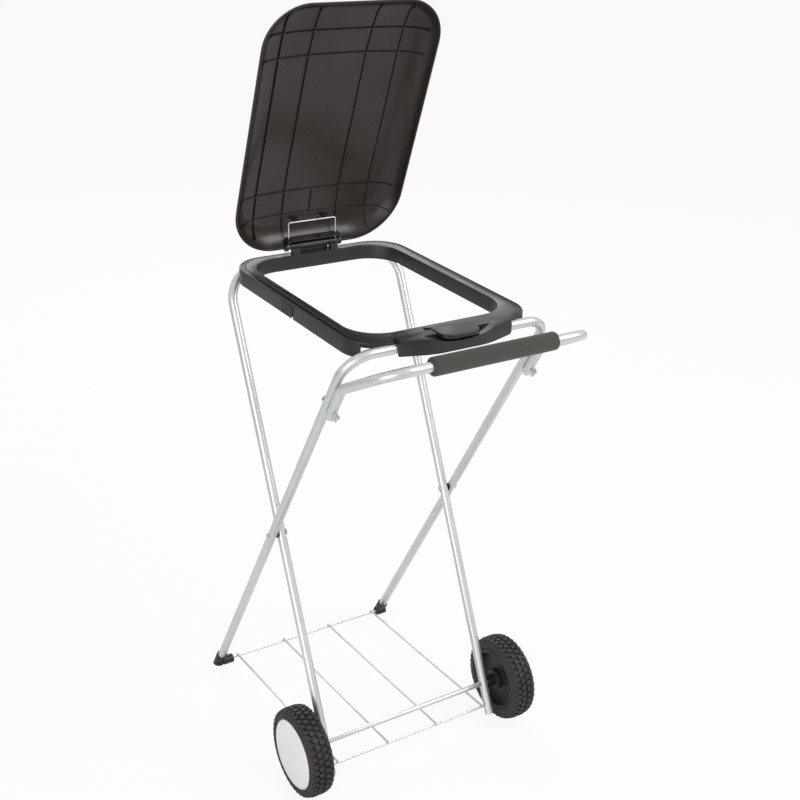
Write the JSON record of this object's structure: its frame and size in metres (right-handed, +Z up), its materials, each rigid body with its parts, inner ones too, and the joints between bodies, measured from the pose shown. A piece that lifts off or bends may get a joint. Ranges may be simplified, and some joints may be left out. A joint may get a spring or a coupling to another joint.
{
  "type": "folding waste bag trolley",
  "caption": "Folding two-wheeled tube trolley that holds a waste bag open in a clamping ring, with a hinged lid, a wire shelf and a padded handle.",
  "frame": {"origin": "on the floor, under the middle of the footprint", "axes": "+Z up, +X across the trolley between the wheels, -Y towards the handle and the side it is used from"},
  "size_m": [0.478, 0.6118, 1.3027],
  "materials": {
    "tube": "bright zinc-plated steel tube",
    "wire": "bright plated steel wire",
    "fastener": "zinc-plated steel",
    "grip": "matte foam sleeve",
    "cap": "moulded, satin",
    "hub": "moulded, satin",
    "tyre": "matte with block tread",
    "disc": "smooth white",
    "ring": "moulded, soft gloss",
    "lid": "moulded, glossy"
  },
  "bodies": {
    "wheel_frame": {"wheel_frame": "tube", "axle": "fastener", "axle_nut_left": "fastener", "axle_nut_right": "fastener", "pivot_rivet_left": "fastener", "pivot_rivet_right": "fastener", "pivot_washer_left": "cap", "pivot_washer_right": "cap"},
    "foot_frame": {"foot_frame": "tube", "handle_tube": "tube", "handle_grip": "grip", "handle_bolt_left": "fastener", "handle_bolt_right": "fastener", "wing_nut_left": "fastener", "wing_nut_right": "fastener", "foot_cap_left": "cap", "foot_cap_right": "cap"},
    "bag_ring": {"bag_ring": "ring"},
    "clamp_ring": {"clamp_ring": "ring"},
    "lid": {"lid": "lid", "hinge_wire": "wire"},
    "shelf": {"wire_shelf": "wire"},
    "wheel_left": {"wheel_hub_left": "hub", "tyre_left": "tyre", "hub_cap_left": "disc"},
    "wheel_right": {"wheel_hub_right": "hub", "tyre_right": "tyre", "hub_cap_right": "disc"}
  },
  "joints": [
    {"name": "fold", "type": "hinge", "parent": "wheel_frame", "child": "foot_frame", "pos_m": [0, 0.05501, 0.421], "axis": [-1, 0, 0], "range_deg": [0, 41]},
    {"name": "ring_tilt", "type": "hinge", "parent": "wheel_frame", "child": "bag_ring", "pos_m": [0, 0.25851, 0.841], "axis": [-1, 0, 0], "range_deg": [0, 90.21]},
    {"name": "shelf_tilt", "type": "hinge", "parent": "wheel_frame", "child": "shelf", "pos_m": [0, -0.12866, 0.04193], "axis": [1, 0, 0], "range_deg": [0, 50.85]},
    {"name": "clamp_lift", "type": "hinge", "parent": "bag_ring", "child": "clamp_ring", "pos_m": [0, 0.26201, 0.8645], "axis": [-1, 0, 0], "range_deg": [0, 45]},
    {"name": "lid_hinge", "type": "hinge", "parent": "clamp_ring", "child": "lid", "pos_m": [0, 0.26201, 0.8645], "axis": [-1, 0, 0], "range_deg": [-71, 25]},
    {"name": "wheel_spin_left", "type": "hinge", "parent": "wheel_frame", "child": "wheel_left", "pos_m": [-0.2155, -0.11021, 0.08], "axis": [1, 0, 0], "continuous": true},
    {"name": "wheel_spin_right", "type": "hinge", "parent": "wheel_frame", "child": "wheel_right", "pos_m": [0.2155, -0.11021, 0.08], "axis": [1, 0, 0], "continuous": true}
  ],
  "couplings": [
    {"joint": "ring_tilt", "follows": "fold", "ratio": 2.2},
    {"joint": "shelf_tilt", "follows": "fold", "ratio": 1.24}
  ]
}
